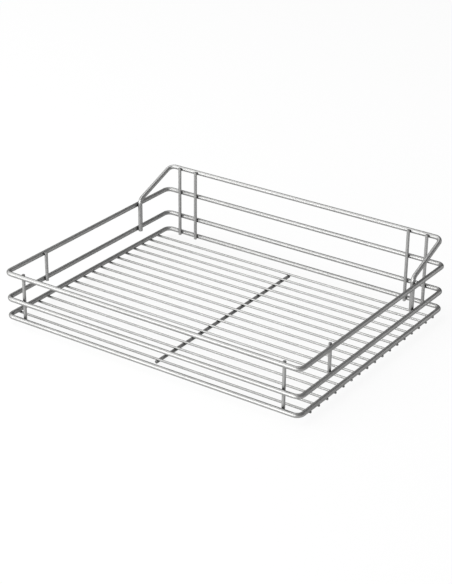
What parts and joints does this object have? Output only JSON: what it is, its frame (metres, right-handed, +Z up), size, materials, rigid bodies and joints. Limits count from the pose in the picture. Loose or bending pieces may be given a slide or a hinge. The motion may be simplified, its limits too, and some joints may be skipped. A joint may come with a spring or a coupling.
{
  "type": "pull-out pantry wire basket",
  "caption": "Rectangular welded wire basket for a pull-out pantry: stacked rings with rounded corners, short uprights, a raised back rail with sloping ends and an open floor of thin wires.",
  "frame": {"origin": "centre of the basket, level with the underside of the cross bar, which is its lowest wire", "axes": "+X along the width to the right, +Y from the front to the raised back rail, +Z up"},
  "size_m": [0.519, 0.407, 0.1273],
  "materials": {
    "rail_wire": "satin silver lacquer over cold-drawn steel wire",
    "upright_wire": "satin silver lacquer over cold-drawn steel wire",
    "bar_wire": "satin silver lacquer over cold-drawn steel wire",
    "floor_wire": "satin silver lacquer over cold-drawn steel wire"
  },
  "bodies": {
    "root": {"base_ring": "rail_wire", "middle_ring": "rail_wire", "upper_ring": "rail_wire", "back_rail": "rail_wire", "front_upright_left": "upright_wire", "front_upright_right": "upright_wire", "side_upright_left": "upright_wire", "side_upright_right": "upright_wire", "back_upright_left_outer": "upright_wire", "back_upright_left_inner": "upright_wire", "back_upright_right_inner": "upright_wire", "back_upright_right_outer": "upright_wire", "cross_bar": "bar_wire", "floor_wire_01": "floor_wire", "floor_wire_02": "floor_wire", "floor_wire_03": "floor_wire", "floor_wire_04": "floor_wire", "floor_wire_05": "floor_wire", "floor_wire_06": "floor_wire", "floor_wire_07": "floor_wire", "floor_wire_08": "floor_wire", "floor_wire_09": "floor_wire", "floor_wire_10": "floor_wire", "floor_wire_11": "floor_wire", "floor_wire_12": "floor_wire", "floor_wire_13": "floor_wire", "floor_wire_14": "floor_wire", "floor_wire_15": "floor_wire", "floor_wire_16": "floor_wire", "floor_wire_17": "floor_wire"}
  },
  "joints": []
}
